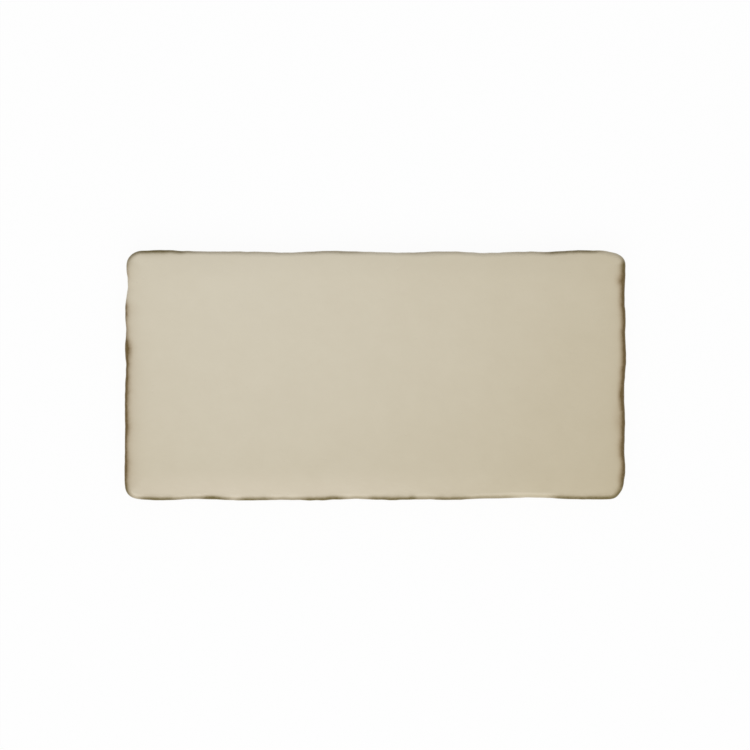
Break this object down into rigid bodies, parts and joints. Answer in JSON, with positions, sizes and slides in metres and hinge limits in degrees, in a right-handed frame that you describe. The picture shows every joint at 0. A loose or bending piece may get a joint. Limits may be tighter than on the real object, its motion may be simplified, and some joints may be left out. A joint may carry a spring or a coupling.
{
  "type": "handmade wall tile",
  "caption": "Oblong glazed ceramic wall tile with wavy hand-formed edges, a softly cushioned face and a grooved back that grips its adhesive.",
  "frame": {"origin": "middle of the tile's footprint, in the plane of its back", "axes": "+X along the tile's length, +Y across its width, +Z out of the glazed face"},
  "size_m": [0.15, 0.075, 0.0092],
  "materials": {
    "glazed_clay": "cream satin-gloss glaze on fired earthenware"
  },
  "bodies": {
    "root": {"tile": "glazed_clay"}
  },
  "joints": []
}
